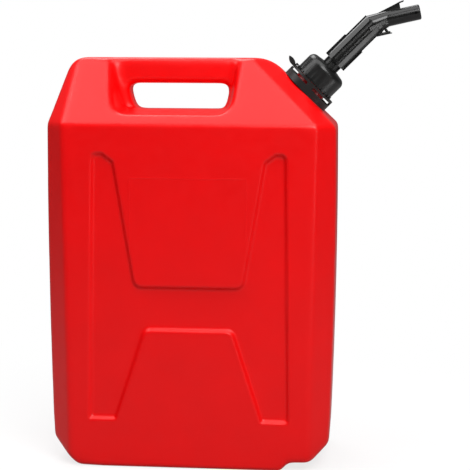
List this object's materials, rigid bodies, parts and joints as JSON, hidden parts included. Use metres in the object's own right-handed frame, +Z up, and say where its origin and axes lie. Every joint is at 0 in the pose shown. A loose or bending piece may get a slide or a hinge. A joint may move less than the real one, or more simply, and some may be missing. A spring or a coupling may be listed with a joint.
{
  "type": "fuel can",
  "caption": "Upright red fuel can with a through handle, pyramid shoulder, H-shaped side recesses and a black self-closing bent pouring spout.",
  "frame": {"origin": "centre of the base, on the surface the can stands on", "axes": "+Z up, +X towards the neck and spout end, -Y the face seen in the picture"},
  "size_m": [0.4225, 0.164, 0.5327],
  "materials": {
    "red_hdpe": "blow-moulded satin with a fine grain",
    "black_polyethylene": "injection-moulded, softly glossy on the domes",
    "black_nylon": "injection-moulded matt",
    "nitrile_rubber": "matt",
    "spring_steel": "drawn wire"
  },
  "bodies": {
    "can": {"can_body": "red_hdpe", "lock_ring": "black_nylon"},
    "tab": {"release_tab": "black_nylon"},
    "closure": {"neck_gasket": "nitrile_rubber"},
    "cap": {"screw_cap": "black_polyethylene"},
    "stem": {"guide_tube": "black_nylon", "stem_seal_ring": "nitrile_rubber", "return_spring": "spring_steel"},
    "sleeve": {"pour_sleeve": "black_polyethylene", "tip_spider": "black_nylon", "vent_tube": "black_nylon", "valve_disc": "black_nylon", "valve_seal": "nitrile_rubber"}
  },
  "joints": [
    {"name": "closure_lift", "type": "slide", "parent": "can", "child": "closure", "axis": [0.7071, 0, 0.7071], "range_m": [0, 0.012]},
    {"name": "cap_turn", "type": "hinge", "parent": "closure", "child": "cap", "pos_m": [0.1255, 0, 0.4285], "axis": [0.7071, 0, 0.7071], "range_deg": [0, 720]},
    {"name": "spout_aim", "type": "hinge", "parent": "closure", "child": "stem", "pos_m": [0.1255, 0, 0.4285], "axis": [0.7071, 0, 0.7071], "range_deg": [-180, 180]},
    {"name": "sleeve_push", "type": "slide", "parent": "stem", "child": "sleeve", "axis": [-0.7071, 0, -0.7071], "range_m": [0, 0.007], "stiffness_N_per_m": 1500, "springref_m": -0.01, "deforming": ["return_spring"]},
    {"name": "tab_press", "type": "hinge", "parent": "can", "child": "tab", "pos_m": [0.11376, 0, 0.45806], "axis": [0, -1, 0], "range_deg": [0, 12], "stiffness_Nm_per_rad": 0.5}
  ],
  "couplings": [
    {"joint": "cap_turn", "follows": "closure_lift", "rad_per_m": 1047.2}
  ]
}
